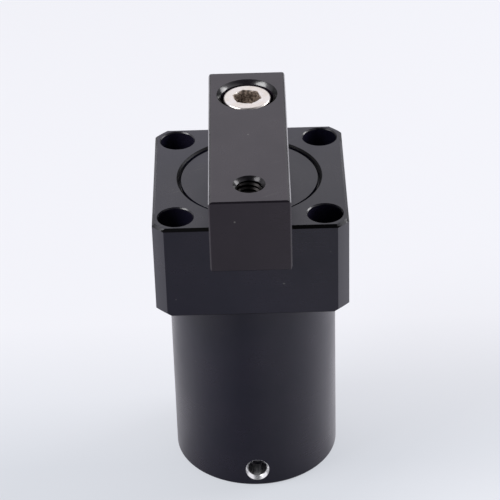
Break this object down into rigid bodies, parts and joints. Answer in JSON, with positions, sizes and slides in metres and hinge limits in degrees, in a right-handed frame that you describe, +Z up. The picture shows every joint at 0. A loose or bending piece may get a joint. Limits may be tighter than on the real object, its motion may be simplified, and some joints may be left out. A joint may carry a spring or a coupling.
{
  "type": "swing clamp cylinder",
  "caption": "Flanged air cylinder with a round barrel whose rod rises and turns a bar-shaped clamp arm, guided by pins in helical cam grooves.",
  "frame": {"origin": "on the rod's axis, in the plane of the flange's underside, which seats on the fixture", "axes": "+Z up along the rod, -Y the way the arm and the lower air port point with the rod down"},
  "size_m": [0.0406, 0.062, 0.0891],
  "materials": {
    "anodised_body": "black anodised, fine machined",
    "anodised_cover": "black anodised, turned face",
    "black_steel": "black oxide over a milled surface",
    "bright_steel": "bright plated",
    "hardened_steel": "hardened and ground",
    "piston_metal": "turned",
    "bronze": "sintered bearing bronze",
    "wear_plastic": "filled bearing plastic",
    "seal_rubber": "polyurethane",
    "black_rubber": "nitrile rubber"
  },
  "bodies": {
    "body": {"body": "anodised_body", "rod_cover": "anodised_cover", "rod_wiper": "black_rubber", "rod_seal": "seal_rubber", "rod_bush": "bronze", "cover_o_ring": "black_rubber", "guide_pin_left": "hardened_steel", "guide_pin_right": "hardened_steel", "upper_bumper": "seal_rubber", "lower_bumper": "seal_rubber"},
    "piston": {"piston": "piston_metal", "piston_seal": "seal_rubber", "wear_ring": "wear_plastic", "piston_o_ring": "black_rubber"},
    "rod": {"piston_rod": "hardened_steel", "upper_thrust_washer": "bronze", "lower_thrust_washer": "bronze", "piston_nut": "bright_steel", "clamp_arm": "black_steel", "arm_screw": "bright_steel"}
  },
  "joints": [
    {"name": "clamp_stroke", "type": "slide", "parent": "body", "child": "piston", "axis": [0, 0, 1], "range_m": [0, 0.014]},
    {"name": "arm_swing", "type": "hinge", "parent": "piston", "child": "rod", "pos_m": [0, 0, 0.0254], "axis": [0, 0, 1], "range_deg": [0, 90]}
  ],
  "couplings": [
    {"joint": "arm_swing", "follows": "clamp_stroke", "rad_per_m": 112.2}
  ]
}
